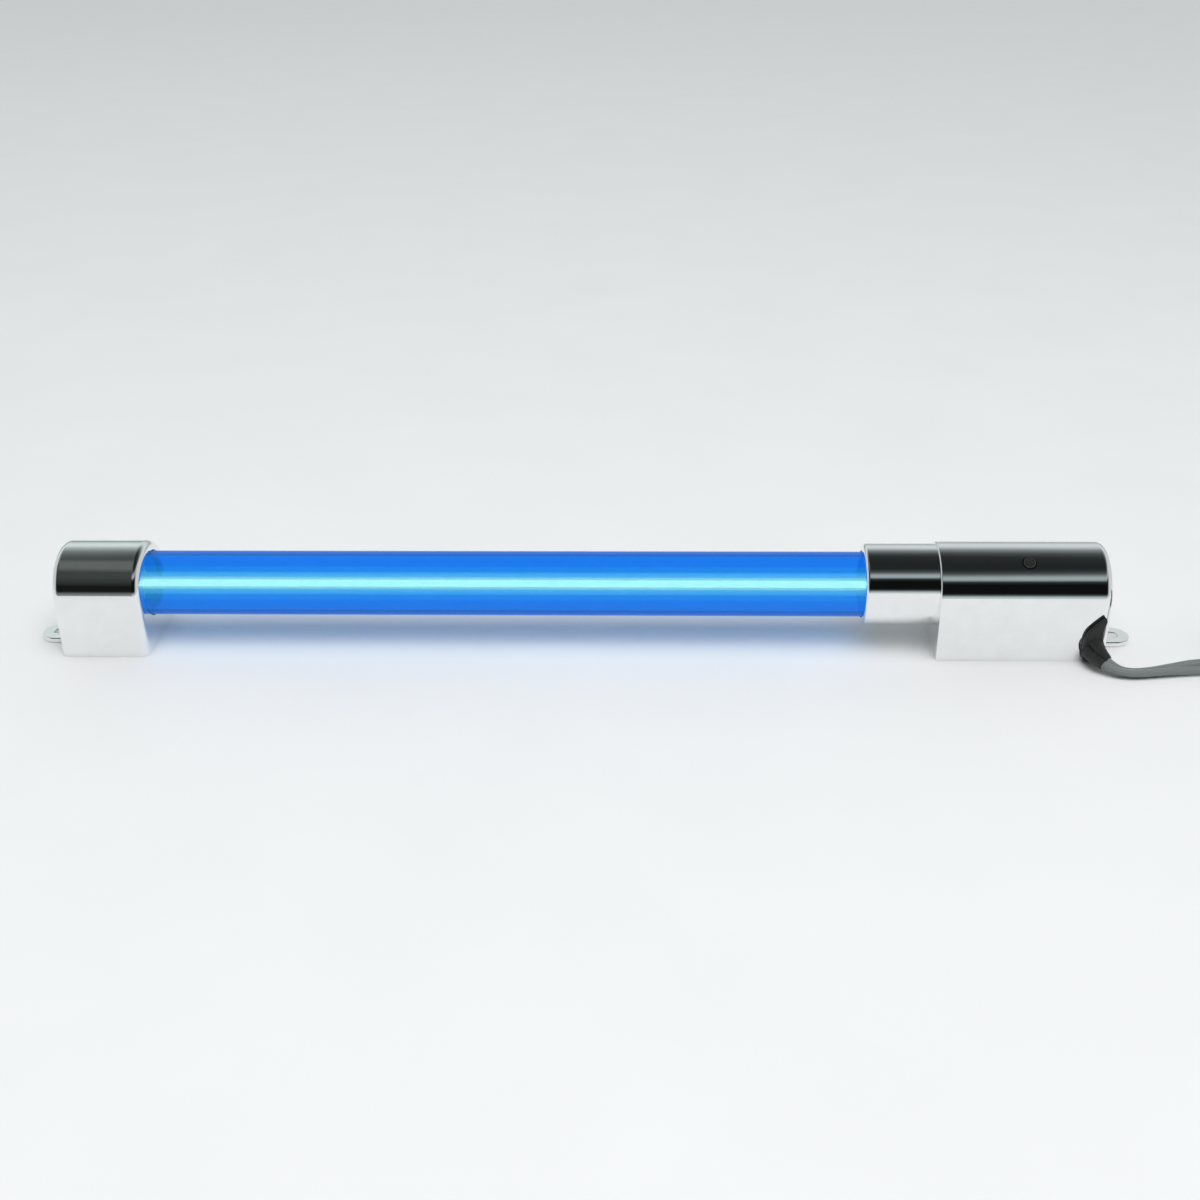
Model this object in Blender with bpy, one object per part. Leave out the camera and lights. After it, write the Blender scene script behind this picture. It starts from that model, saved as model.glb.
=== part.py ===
"""Twelve volt tube light: a blue acrylic tube between a plated end cap and a
plated driver housing, with a push switch, a flat power lead tied in a hank and
an accessory socket plug. Lengths below are millimetres; the model is in metres.
X runs along the tube to the driver housing, -Y is the front, Z is up."""
import math
import bpy
import bmesh
from mathutils import Vector

MM = 0.001
GAP = 0.3

TUBE_AXIS_Z = 17.85
TUBE_R = 9.5
TUBE_BORE_R = 8.0
TUBE_LEFT = -145.0
TUBE_RIGHT = 99.8

BODY_END = 152.4
SHELL_R = 13.7
SHELL_ARC_Z = 16.65
SHELL_WALL = 1.8
CAP_MOUTH = -126.3
BOX_START = 103.9
COLLAR_START = 83.0
COLLAR_R = 11.96
MOUTH_R = 9.8
CAP_MOUTH_RIM = 2.2
BOX_STEP_RIM = 0.5
COLLAR_MOUTH_RIM = 1.3
END_RIM = 2.4

PLATE_T = 1.5
PLATE_HALF_Y = 11.6
EAR_R = 5.0
EAR_TIP = 162.5
EAR_HOLE_R = 1.7
BOSS_Y = 8.6
BOSS_R = 2.4
BOSS_TOP = 9.0
SCREW_R = 1.0
SCREW_HEAD_R = 1.8

CORE_R = 2.6
CORE_BORE_R = 1.9
CORE_LEFT = -137.0
CORE_RIGHT = 92.0
LED_PITCH = 8.0
LED_COUNT = 27

BUTTON_X = 129.0
BUTTON_ANGLE = math.radians(57.0)
BUTTON_R = 1.75

LEAD_WIDTH = 4.4
LEAD_THICK = 2.1
LEAD_EXIT_X = 147.7
LEAD_EXIT_Z = 4.9
LEAD_EXIT_ROLL = math.radians(55.0)
HANK_X = 233.0
HANK_Y = -4.0
HANK_RUN = 54.0
HANK_TURN_R = 10.0
HANK_PITCH = 2.3
HANK_TURNS = 4
HANK_PINCH = 8.55
HANK_BASE = 0.9
HANK_TOP = 9.8

PLUG_Y = -14.0
PLUG_Z = 10.6

# centre of the lead from the outlet to the hank, and from the hank to the plug
LEAD_ROUTE = [
    (147.7, -11.4, 4.9),
    (147.7, -14.8, 4.8),
    (148.4, -18.0, 4.1),
    (150.4, -20.8, 3.0),
    (153.6, -22.6, 1.9),
    (157.6, -23.1, 1.45),
    (163.0, -22.4, 1.45),
    (169.0, -21.5, 1.8),
    (176.0, -20.95, 2.3),
    (186.0, -20.85, 2.8),
    (197.1, -20.9, 3.1),
]
PLUG_ROUTE = [
    (269.0, -20.9, 7.6),
    (274.0, -20.2, 8.1),
    (279.0, -18.1, 9.1),
    (284.0, -15.6, 10.2),
    (289.0, -14.15, 10.6),
    (294.0, -14.0, 10.6),
    (299.0, -14.0, 10.6),
]
# (x, z) outlines on the housing's front wall: the rubber lip, the hole and the lip's neck
OUTLET_FACE = [(145.4, 0.5), (144.9, 2.0), (144.8, 5.5), (145.2, 8.2), (146.0, 10.1), (148.3, 12.5),
               (150.5, 14.5), (150.9, 13.1), (150.3, 11.6), (150.1, 9.6), (150.6, 5.6), (151.2, 2.2),
               (150.9, 0.5)]
OUTLET_HOLE = [(145.3, 1.9), (145.3, 7.9), (146.2, 9.8), (148.6, 11.4), (148.9, 10.4), (149.6, 8.6),
               (150.4, 5.2), (150.4, 1.9)]
GUARD_NECK = [(145.6, 2.2), (145.6, 7.7), (146.5, 9.5), (148.3, 10.7), (148.6, 10.2), (149.3, 8.4),
              (150.1, 5.1), (150.1, 2.2)]


def clear_scene():
    for old in list(bpy.data.objects):
        bpy.data.objects.remove(old, do_unlink=True)
    for mesh in list(bpy.data.meshes):
        bpy.data.meshes.remove(mesh)


def material(name, color, metallic, roughness, alpha=1.0, glow=0.0):
    mat = bpy.data.materials.new(name)
    mat.use_nodes = True
    shader = mat.node_tree.nodes["Principled BSDF"]
    shader.inputs["Base Color"].default_value = (*color, 1.0)
    shader.inputs["Metallic"].default_value = metallic
    shader.inputs["Roughness"].default_value = roughness
    shader.inputs["Alpha"].default_value = alpha
    shader.inputs["Emission Color"].default_value = (*color, 1.0)
    shader.inputs["Emission Strength"].default_value = glow
    return mat


def chrome(name):
    return material(name, (0.86, 0.87, 0.87), 1.0, 0.08)


def steel(name):
    return material(name, (0.55, 0.56, 0.57), 1.0, 0.32)


def brass(name):
    return material(name, (0.78, 0.6, 0.28), 1.0, 0.3)


def black_plastic(name):
    return material(name, (0.018, 0.018, 0.019), 0.0, 0.4)


def black_rubber(name):
    return material(name, (0.02, 0.021, 0.021), 0.0, 0.6)


def white_plastic(name):
    return material(name, (0.8, 0.8, 0.78), 0.0, 0.5)


def blue_acrylic(name):
    return material(name, (0.01, 0.17, 0.85), 0.0, 0.08, 0.55, 0.6)


def frosted_core(name):
    return material(name, (0.45, 0.93, 1.0), 0.0, 0.5, 1.0, 4.0)


def circuit_board(name):
    return material(name, (0.02, 0.16, 0.06), 0.0, 0.45)


def copper_lead(name, color):
    return material(name, color, 0.0, 0.5)


def make_object(name, verts, faces, mat=None):
    mesh = bpy.data.meshes.new(name)
    mesh.from_pydata([Vector(v) * MM for v in verts], [], faces)
    tidy = bmesh.new()
    tidy.from_mesh(mesh)
    bmesh.ops.recalc_face_normals(tidy, faces=tidy.faces)
    tidy.to_mesh(mesh)
    tidy.free()
    obj = bpy.data.objects.new(name, mesh)
    bpy.context.scene.collection.objects.link(obj)
    if mat:
        mesh.materials.append(mat)
    return obj


def loft(name, rings, mat=None, closed=False):
    """Skin through equal rings of points; a closed skin joins the last to the first."""
    count = len(rings[0])
    verts = [point for ring in rings for point in ring]
    faces = []
    spans = len(rings) if closed else len(rings) - 1
    for k in range(spans):
        low = k * count
        high = ((k + 1) % len(rings)) * count
        for i in range(count):
            j = (i + 1) % count
            faces.append((low + i, low + j, high + j, high + i))
    if not closed:
        faces.append(tuple(range(count)))
        faces.append(tuple(range(len(verts) - count, len(verts))))
    return make_object(name, verts, faces, mat)


def prism_x(name, outline, low, high, mat=None):
    return loft(name, [[(x, y, z) for y, z in outline] for x in (low, high)], mat)


def prism_y(name, outline, low, high, mat=None):
    return loft(name, [[(x, y, z) for x, z in outline] for y in (low, high)], mat)


def prism_z(name, outline, low, high, mat=None):
    return loft(name, [[(x, y, z) for x, y in outline] for z in (low, high)], mat)


def block(name, low, high, mat=None):
    outline = [(low[0], low[1]), (high[0], low[1]), (high[0], high[1]), (low[0], high[1])]
    return prism_z(name, outline, low[2], high[2], mat)


def turned(name, origin, direction, profile, mat=None, segments=48, ring=False):
    """Solid of revolution; profile holds (along, radius). A ring has a bore."""
    axis = Vector(direction).normalized()
    side = axis.orthogonal().normalized()
    if abs(axis.z) < 0.9:
        side = Vector((0, 0, 1)).cross(axis).normalized()
    up = axis.cross(side)
    rings = []
    for along, radius in profile:
        centre = Vector(origin) + axis * along
        turn = []
        for i in range(segments):
            angle = 2 * math.pi * i / segments
            turn.append(centre + (side * math.cos(angle) + up * math.sin(angle)) * radius)
        rings.append(turn)
    return loft(name, rings, mat, closed=ring)


def combine(body, other, operation):
    other.hide_render = True
    other.display_type = 'WIRE'
    step = body.modifiers.new("shape", 'BOOLEAN')
    step.operation = operation
    step.solver = 'EXACT'
    step.object = other
    bpy.context.view_layer.update()
    graph = bpy.context.evaluated_depsgraph_get()
    shaped = bpy.data.meshes.new_from_object(body.evaluated_get(graph))
    body.modifiers.clear()
    body.data = shaped
    shaped.name = body.name
    bpy.data.objects.remove(other, do_unlink=True)


def cut(body, other):
    combine(body, other, 'DIFFERENCE')


def join(body, other):
    combine(body, other, 'UNION')


def smooth(obj, degrees=32.0):
    obj.data.shade_smooth()
    obj.data.set_sharp_from_angle(angle=math.radians(degrees))
    return obj


def set_origin(obj, point):
    shift = Vector(point) * MM
    for vert in obj.data.vertices:
        vert.co -= shift
    obj.location = shift


def u_outline(inset, bottom=0.0, segments=20):
    """Arch over straight sides and a flat bottom, drawn in (y, z)."""
    radius = SHELL_R - inset
    outline = [(-radius, bottom)]
    for i in range(segments + 1):
        angle = math.pi * (1 - i / segments)
        outline.append((radius * math.cos(angle), SHELL_ARC_Z + radius * math.sin(angle)))
    outline.append((radius, bottom))
    return outline


def rounded_edge(rim, steps):
    """(distance from the face, inset) along a quarter round of that radius."""
    angles = [math.pi / 2 * i / steps for i in range(steps + 1)]
    return [(rim * (1 - math.cos(a)), rim * (1 - math.sin(a))) for a in angles]


def u_shell(name, mouth, end, mouth_rim, mat):
    """Arched block from mouth to end, with both rims rounded."""
    way = 1.0 if end > mouth else -1.0
    sections = [(mouth + way * along, inset) for along, inset in rounded_edge(mouth_rim, 4)]
    sections += [(end - way * along, inset) for along, inset in reversed(rounded_edge(END_RIM, 4))]
    rings = [[(x, y, z) for y, z in u_outline(inset)] for x, inset in sections]
    return loft(name, rings, mat)


def add_boss(shell, x, side):
    post = turned("boss", (x, side * BOSS_Y, 1.8), (0, 0, 1), [(0, BOSS_R), (BOSS_TOP - 1.8, BOSS_R)],
                  segments=12)
    join(shell, post)
    low_y, high_y = sorted((side * BOSS_Y, side * (SHELL_R - 0.9)))
    join(shell, block("web", (x - 1.0, low_y, 1.8), (x + 1.0, high_y, BOSS_TOP - 0.6)))
    cut(shell, turned("hole", (x, side * BOSS_Y, 1.0), (0, 0, 1),
                      [(0, SCREW_R + GAP), (7.2, SCREW_R + GAP)], segments=12))


def cut_ear_notch(shell, sign):
    low_x, high_x = sorted((sign * (BODY_END - 4.0), sign * (BODY_END + 1.0)))
    cut(shell, block("notch", (low_x, -EAR_R - GAP, -1.0), (high_x, EAR_R + GAP, PLATE_T + GAP)))


def left_cap():
    cap = u_shell("left_cap", CAP_MOUTH, -BODY_END, CAP_MOUTH_RIM, chrome("left_cap"))
    inner = SHELL_WALL
    back = -BODY_END + inner
    front = CAP_MOUTH - inner
    cut(cap, prism_x("room", u_outline(inner, 1.0), back, -143.6))
    cut(cap, prism_x("room", u_outline(inner, 1.0), -142.0, front))
    cut(cap, block("room", (back, -SHELL_R + inner, -1.0), (front, SHELL_R - inner, 1.8)))
    cut(cap, turned("mouth", (-146.0, 0, TUBE_AXIS_Z), (1, 0, 0), [(0, MOUTH_R), (25.0, MOUTH_R)],
                    segments=40))
    for side in (-1, 1):
        add_boss(cap, -133.0, side)
    cut_ear_notch(cap, -1.0)
    return smooth(cap)


def right_housing():
    shell = u_shell("right_housing", BOX_START, BODY_END, BOX_STEP_RIM, chrome("right_housing"))
    collar = [(along, COLLAR_R - inset) for along, inset in rounded_edge(COLLAR_MOUTH_RIM, 4)]
    collar.append((21.4, COLLAR_R))
    join(shell, turned("collar", (COLLAR_START, 0, TUBE_AXIS_Z), (1, 0, 0), collar, segments=48))
    inner = SHELL_WALL
    start = BOX_START + inner
    back = BODY_END - inner
    cut(shell, prism_x("room", u_outline(inner, -1.0), start, back))
    cut(shell, turned("mouth", (COLLAR_START - 1, 0, TUBE_AXIS_Z), (1, 0, 0),
                      [(0, MOUTH_R), (24.0, MOUTH_R)], segments=40))
    for x in (110.0, 140.0):
        for side in (-1, 1):
            add_boss(shell, x, side)
    cut_ear_notch(shell, 1.0)
    cut(shell, prism_y("outlet", OUTLET_HOLE, -SHELL_R - 1.0, -SHELL_R + inner + 0.5))
    cut(shell, turned("button_hole", button_point(8.0), button_axis(),
                      [(0, BUTTON_R + GAP), (8.0, BUTTON_R + GAP)], segments=20))
    return smooth(shell)


def base_plate(name, sign, inner_end, screw_x):
    centre = EAR_TIP - EAR_R
    edge = BODY_END - SHELL_WALL - GAP
    outline = [(inner_end, -PLATE_HALF_Y), (edge, -PLATE_HALF_Y), (edge, -EAR_R)]
    for i in range(17):
        angle = math.pi * (i / 16 - 0.5)
        outline.append((centre + EAR_R * math.cos(angle), EAR_R * math.sin(angle)))
    outline += [(edge, EAR_R), (edge, PLATE_HALF_Y), (inner_end, PLATE_HALF_Y)]
    outline = [(sign * x, y) for x, y in outline]
    plate = prism_z(name, outline, 0.0, PLATE_T, chrome(name))
    cut(plate, turned("hole", (sign * centre, 0, -1), (0, 0, 1), [(0, EAR_HOLE_R), (4, EAR_HOLE_R)],
                      segments=24))
    for x in screw_x:
        for side in (-1, 1):
            spot = (x, side * BOSS_Y, -1.0)
            cut(plate, turned("hole", spot, (0, 0, 1), [(0, 1.35), (4, 1.35)], segments=12))
            cut(plate, turned("seat", spot, (0, 0, 1), [(0, 2.15), (1.95, 2.15)], segments=16))
    return smooth(plate)


def cover_screw(name, x, side):
    profile = [(0.1, 1.5), (0.3, SCREW_HEAD_R), (0.65, SCREW_HEAD_R), (0.65, SCREW_R), (6.6, SCREW_R),
               (7.2, 0.4)]
    screw = turned(name, (x, side * BOSS_Y, 0), (0, 0, 1), profile, steel(name), 12)
    cut(screw, block("slot", (x - 1.1, side * BOSS_Y - 0.22, -0.2), (x + 1.1, side * BOSS_Y + 0.22, 0.4)))
    return smooth(screw)


def pipe(name, low, high, outer, bore, mat, segments=48):
    profile = [(low, bore), (low, outer), (high, outer), (high, bore)]
    return smooth(turned(name, (0, 0, TUBE_AXIS_Z), (1, 0, 0), profile, mat, segments, ring=True))


def led_strip():
    top = TUBE_AXIS_Z + 0.25
    first = -0.5 * LED_PITCH * (LED_COUNT - 1) + 0.5 * (CORE_LEFT + CORE_RIGHT)
    outline = [(CORE_RIGHT - 1.0, top - 0.5), (CORE_LEFT + 1.0, top - 0.5), (CORE_LEFT + 1.0, top)]
    for i in range(LED_COUNT):
        x = first + LED_PITCH * i
        outline += [(x - 1.2, top), (x - 1.2, top + 0.7), (x + 1.2, top + 0.7), (x + 1.2, top)]
    outline.append((CORE_RIGHT - 1.0, top))
    return prism_y("led_strip", outline, -1.1, 1.1, frosted_core("led_strip"))


def end_plug(name, low, high, holes):
    profile = [(low, TUBE_BORE_R - GAP), (high, TUBE_BORE_R - GAP)]
    plug = turned(name, (0, 0, TUBE_AXIS_Z), (1, 0, 0), profile, white_plastic(name), 32)
    for y in holes:
        cut(plug, turned("hole", (low - 1, y, TUBE_AXIS_Z), (1, 0, 0), [(0, 0.85), (high - low + 2, 0.85)],
                         segments=10))
    return smooth(plug)


def tube_parts():
    pipe("outer_tube", TUBE_LEFT, TUBE_RIGHT, TUBE_R, TUBE_BORE_R, blue_acrylic("outer_tube"))
    pipe("light_core", CORE_LEFT, CORE_RIGHT, CORE_R, CORE_BORE_R, frosted_core("light_core"), 24)
    led_strip()
    for name, low in (("left_core_holder", -133.0), ("right_core_holder", 88.0)):
        pipe(name, low, low + 2.0, TUBE_BORE_R - GAP, CORE_R + GAP, white_plastic(name), 24)
    end_plug("left_end_plug", -143.5, -140.5, ())
    end_plug("right_end_plug", 94.5, 97.5, (-1.5, 1.5))


def rounded_section(half_wide, half_thick, segments=5):
    """Flat slot section: straight faces with half round ends, drawn in (wide, thin)."""
    outline = []
    for side in (1, -1):
        for i in range(segments):
            angle = math.pi * (i / (segments - 1) - 0.5)
            wide = side * (half_wide - half_thick + half_thick * math.cos(angle))
            outline.append((wide, side * half_thick * math.sin(angle)))
    return outline


def smooth_route(points, steps):
    """Catmull-Rom curve through the route's points."""
    knots = [Vector(point) for point in points]
    knots = [2 * knots[0] - knots[1], *knots, 2 * knots[-1] - knots[-2]]
    curve = []
    for a, b, c, d in zip(knots, knots[1:], knots[2:], knots[3:]):
        for i in range(steps):
            t = i / steps
            bend = (2 * a - 5 * b + 4 * c - d) * t * t + (3 * b - a - 3 * c + d) * t ** 3
            curve.append(0.5 * (2 * b + (c - a) * t + bend))
    curve.append(knots[-2])
    return curve


def lead(name, points, radius, mat, sides=1):
    """Round lead along the points, with closed ends."""
    data = bpy.data.curves.new(name, 'CURVE')
    data.dimensions = '3D'
    data.bevel_depth = radius * MM
    data.bevel_resolution = sides
    data.use_fill_caps = True
    line = data.splines.new('POLY')
    line.points.add(len(points) - 1)
    for spot, point in zip(line.points, points):
        spot.co = (*(Vector(point) * MM), 1.0)
    data.materials.append(mat)
    obj = bpy.data.objects.new(name, data)
    bpy.context.scene.collection.objects.link(obj)
    return obj


def inner_lead(name, points, color):
    return lead(name, points, 0.5, copper_lead(name, color))


def leads():
    red = (0.5, 0.02, 0.02)
    black = (0.02, 0.02, 0.02)
    for name, y, color in (("led_lead_1", -1.5, red), ("led_lead_2", 1.5, black)):
        inner_lead(name, [(92.6, y, 17.85), (99.0, y, 17.85), (103.5, y, 17.3), (107.2, y, 15.0),
                          (109.6, y, 12.9), (111.5, y, 11.6)], color)
    inner_lead("power_lead_1", [(148.0, -10.6, 6.2), (148.0, -8.6, 7.6), (147.9, -6.6, 11.0),
                                (146.6, -5.5, 13.3), (144.0, -5.5, 13.6)], red)
    inner_lead("power_lead_2", [(147.4, -10.6, 3.8), (148.0, -7.0, 4.4), (148.0, -3.6, 8.0),
                                (147.6, -2.2, 12.0), (146.0, -2.0, 13.5), (144.0, -2.0, 13.6)], black)
    for name, x, color in (("switch_lead_1", 127.6, red), ("switch_lead_2", 130.4, black)):
        inner_lead(name, [(x, -3.1, 21.0), (x, -3.4, 18.6), (x, -4.6, 15.0), (x, -5.4, 11.2)], color)


def driver_parts():
    board = block("driver_board", (107.5, -10.4, 9.4), (144.5, 10.4, 10.6), circuit_board("driver_board"))
    for side in (-1, 1):
        cut(board, turned("hole", (126.0, side * 8.0, 9), (0, 0, 1), [(0, 1.2), (3, 1.2)], segments=10))
    drum = [(0, 4.2), (1.2, 4.2), (1.2, 3.2), (4.8, 3.2), (4.8, 4.2), (6, 4.2)]
    smooth(turned("inductor", (116.5, 5.0, 10.8), (0, 0, 1), drum, brass("inductor"), 20))
    can = [(0, 2.9), (0.5, 3.15), (1.1, 2.95), (1.7, 3.15), (8.6, 3.15), (9.0, 2.8)]
    smooth(turned("capacitor", (136.0, 6.0, 10.8), (0, 0, 1), can, black_plastic("capacitor"), 20))
    block("regulator", (122.0, 3.0, 10.8), (128.5, 9.0, 13.1), black_plastic("regulator"))
    terminal = block("terminal_block", (137.4, -7.4, 10.8), (143.4, -0.2, 16.4),
                     white_plastic("terminal_block"))
    for y in (-5.5, -2.0):
        cut(terminal, block("port", (141.4, y - 0.9, 12.6), (144.4, y + 0.9, 14.6)))


def button_axis():
    return Vector((0, -math.cos(BUTTON_ANGLE), math.sin(BUTTON_ANGLE)))


def button_point(radius):
    return Vector((BUTTON_X, 0, SHELL_ARC_Z)) + button_axis() * radius


def switch_parts():
    axis = button_axis()
    across = Vector((1, 0, 0)).cross(axis)
    rings = []
    for radius in (7.2, 11.1):
        centre = button_point(radius)
        corners = ((-3, -3), (3, -3), (3, 3), (-3, 3))
        rings.append([centre + Vector((1, 0, 0)) * a + across * b for a, b in corners])
    case = loft("switch_body", rings, black_plastic("switch_body"))
    cut(case, turned("pocket", button_point(9.2), axis, [(0, 2.1), (4, 2.1)], segments=16))
    smooth(case)
    profile = [(0, 1.4), (0.3, BUTTON_R), (3.2, BUTTON_R), (3.5, BUTTON_R - 0.12), (3.7, BUTTON_R - 0.45)]
    button = turned("switch_button", button_point(10.6), axis, profile, black_plastic("switch_button"), 20)
    smooth(button)
    set_origin(button, button_point(10.6))


def cord_guard():
    """Rubber lip over the outlet, with a neck through the wall and a slot for the lead."""
    front = -SHELL_R - GAP
    guard = prism_y("cord_guard", OUTLET_FACE, front - 1.5, front, black_rubber("cord_guard"))
    join(guard, prism_y("neck", GUARD_NECK, front - 0.3, -SHELL_R + SHELL_WALL + 0.6))
    lean, rise = math.cos(LEAD_EXIT_ROLL), math.sin(LEAD_EXIT_ROLL)
    sides = rounded_section(0.5 * LEAD_WIDTH + 0.25, 0.5 * LEAD_THICK + 0.25)
    slot = [(LEAD_EXIT_X + wide * lean - thin * rise, LEAD_EXIT_Z + wide * rise + thin * lean)
            for wide, thin in sides]
    cut(guard, prism_y("slot", slot, front - 3.0, -SHELL_R + 4.0))
    return smooth(guard)


def hank_outline():
    """Outer edge of the tied turns: two round ends and a waist under the tie."""
    outer = HANK_TURN_R + HANK_PITCH * (HANK_TURNS - 1) + 0.5 * LEAD_THICK
    half = 0.5 * HANK_RUN
    outline = []
    for side in (1, -1):
        for i in range(12):
            angle = math.pi * (i / 12 - 0.5)
            outline.append((side * (half + outer * math.cos(angle)), side * outer * math.sin(angle)))
        for i in range(12):
            x = half - HANK_RUN * i / 12
            waist = HANK_PINCH * math.cos(math.pi * x / HANK_RUN) ** 2
            outline.append((side * x, side * (outer - waist)))
    return [(HANK_X + x, HANK_Y + y) for x, y in outline]


def cord_parts():
    cord_guard()
    half = 0.5 * LEAD_THICK
    lead("power_cord", smooth_route(LEAD_ROUTE, 2), half, black_rubber("power_cord"), 2)
    smooth(prism_z("cord_hank", hank_outline(), HANK_BASE, HANK_TOP, black_rubber("cord_hank")))
    lead("plug_cord", smooth_route(PLUG_ROUTE, 2), half, black_rubber("plug_cord"), 2)
    reach = HANK_TURN_R + HANK_PITCH * (HANK_TURNS - 1) + 0.5 * LEAD_THICK - HANK_PINCH + 0.5
    tie = block("hank_tie", (HANK_X - 2.5, HANK_Y - reach - 0.6, 0.0),
                (HANK_X + 2.5, HANK_Y + reach + 0.6, HANK_TOP + 0.9), black_plastic("hank_tie"))
    cut(tie, block("inside", (HANK_X - 9, HANK_Y - reach, 0.6),
                   (HANK_X + 9, HANK_Y + reach, HANK_TOP + 0.3)))


def on_plug(name, profile, mat, segments=28, ring=False):
    return turned(name, (0, PLUG_Y, PLUG_Z), (1, 0, 0), profile, mat, segments, ring)


def plug_parts():
    bore = 2.95
    relief = [(288.5, bore), (288.5, 3.6), (290.0, 3.9), (297.6, 5.0), (297.6, bore)]
    smooth(on_plug("plug_relief", relief, black_rubber("plug_relief"), ring=True))
    shell = [(297.9, bore), (297.9, 6.2), (300.0, 8.2), (306.0, 9.9), (309.0, 10.4), (323.5, 10.4),
             (324.5, 9.6), (334.0, 9.2), (334.0, 4.3), (303.0, 4.3), (303.0, bore)]
    body = on_plug("plug_body", shell, black_plastic("plug_body"), ring=True)
    for side in (-1, 1):
        low_y, high_y = sorted((PLUG_Y + side * 6.9, PLUG_Y + side * 12.0))
        cut(body, block("slot", (308.4, low_y, PLUG_Z - 1.6), (322.6, high_y, PLUG_Z + 1.6)))
    smooth(body)
    collar = [(334.3, 3.5), (334.3, 9.0), (336.0, 9.0), (341.0, 6.4), (341.0, 3.5)]
    smooth(on_plug("plug_collar", collar, steel("plug_collar"), ring=True))
    fuse = [(303.4, 3.2), (309.0, 3.2), (309.0, 2.9), (321.0, 2.9), (321.0, 3.2), (326.6, 3.2)]
    smooth(on_plug("plug_fuse", fuse, steel("plug_fuse"), 16))
    tip = [(330.6, 3.9), (332.6, 3.9), (332.6, 3.1), (344.0, 3.1), (345.6, 2.5), (346.4, 1.2)]
    pin = smooth(on_plug("plug_tip", tip, brass("plug_tip"), 24))
    set_origin(pin, (330.6, PLUG_Y, PLUG_Z))
    for name, side in (("plug_contact_left", 1), ("plug_contact_right", -1)):
        bow = [(309.0, 8.5), (322.0, 8.5), (322.0, 9.0)]
        bow += [(315.5 + 6.5 * math.cos(math.pi * i / 12), 9.0 + 2.6 * math.sin(math.pi * i / 12))
                for i in range(1, 12)]
        bow += [(309.0, 9.0)]
        spring = prism_z(name, [(x, PLUG_Y + side * y) for x, y in bow], PLUG_Z - 1.25, PLUG_Z + 1.25,
                         steel(name))
        smooth(spring)
        set_origin(spring, (315.5, PLUG_Y + side * 8.5, PLUG_Z))


def build():
    clear_scene()
    left_cap()
    right_housing()
    base_plate("left_base_plate", -1.0, 128.4, (-133.0,))
    base_plate("right_base_plate", 1.0, 106.0, (110.0, 140.0))
    for number, side in ((1, -1), (2, 1)):
        cover_screw(f"left_cover_screw_{number}", -133.0, side)
    spots = [(x, side) for x in (110.0, 140.0) for side in (-1, 1)]
    for number, (x, side) in enumerate(spots, 1):
        cover_screw(f"right_cover_screw_{number}", x, side)
    tube_parts()
    driver_parts()
    leads()
    switch_parts()
    cord_parts()
    plug_parts()


build()
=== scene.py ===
import math

import bmesh
import bpy
from mathutils import Matrix, Vector


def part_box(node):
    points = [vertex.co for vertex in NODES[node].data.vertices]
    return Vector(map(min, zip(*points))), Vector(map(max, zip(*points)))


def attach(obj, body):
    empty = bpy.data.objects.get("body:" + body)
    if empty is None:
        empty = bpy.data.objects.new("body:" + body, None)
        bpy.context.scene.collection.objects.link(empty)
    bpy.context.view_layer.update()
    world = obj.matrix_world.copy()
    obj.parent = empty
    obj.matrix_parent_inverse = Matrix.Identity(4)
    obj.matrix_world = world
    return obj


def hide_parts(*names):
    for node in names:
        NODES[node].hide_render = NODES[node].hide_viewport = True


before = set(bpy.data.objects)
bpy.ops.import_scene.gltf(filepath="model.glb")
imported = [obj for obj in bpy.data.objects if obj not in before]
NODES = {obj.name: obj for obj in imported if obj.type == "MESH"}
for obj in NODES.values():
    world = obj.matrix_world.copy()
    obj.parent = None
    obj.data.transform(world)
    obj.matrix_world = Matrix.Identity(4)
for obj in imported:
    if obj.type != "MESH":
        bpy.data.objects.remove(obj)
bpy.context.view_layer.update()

# sizes and places are in millimetres in the part's own frame; MM is one of them in metres
MM = 0.001
GAP = 0.3
CUT_PAST = 1.0
TUBE_AXIS_Z = 17.85
TUBE_R = 9.5
TUBE_BORE_R = 8.0
TUBE_EDGE = 0.25
LIGHT_LINE_Z = TUBE_AXIS_Z - 0.13
LIGHT_LINE_R = 1.05
LIGHT_LINE_TAPER = 0.6
CORE_R = 2.6
CORE_BORE_R = 1.9
BODY_END = 152.4
SHELL_R = 13.7
SHELL_ARC_Z = 16.65
SHELL_WALL = 1.8
CAP_MOUTH = -126.3
CAP_SOCKET_BACK = -146.0
CAP_SOCKET_LENGTH = 25.0
COLLAR_SOCKET_LENGTH = 24.0
BOX_START = 103.9
COLLAR_START = 83.0
COLLAR_R = 11.96
COLLAR_LENGTH = 21.4
MOUTH_R = 9.8
SEAL_GAP = 0.03
SEAL_WIDTH = 1.3
EAR_R = 5.0
BUTTON_X = 129.0
BUTTON_ANGLE = math.radians(57.0)
BUTTON_HOLE_R = 2.05
BUTTON_HOLE_BASE = 8.0
BUTTON_BASE = 10.6
CAP_MOUTH_RIM = 2.2
BOX_STEP_RIM = 0.5
COLLAR_MOUTH_RIM = 1.3
END_RIM = 2.4
PLATE_T = 1.5
PLATE_EDGE = 0.3
PLATE_HALF_Y = 11.6
EAR_TIP = 162.5
EAR_HOLE_R = 1.7
BOSS_Y = 8.6
SCREW_HEAD_R = 2.15
SCREW_HOLE_R = 1.35
LEAD_WIDTH = 4.4
LEAD_THICK = 2.1
LEAD_SLOT_GAP = 0.12
NECK_PAST_WALL = 0.6
LEAD_STEPS = 8
LEAD_EXIT_X = 147.7
LEAD_EXIT_Z = 4.9
LEAD_EXIT_ROLL = math.radians(55.0)
HANK_X = 233.0
HANK_Y = -4.0
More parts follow.
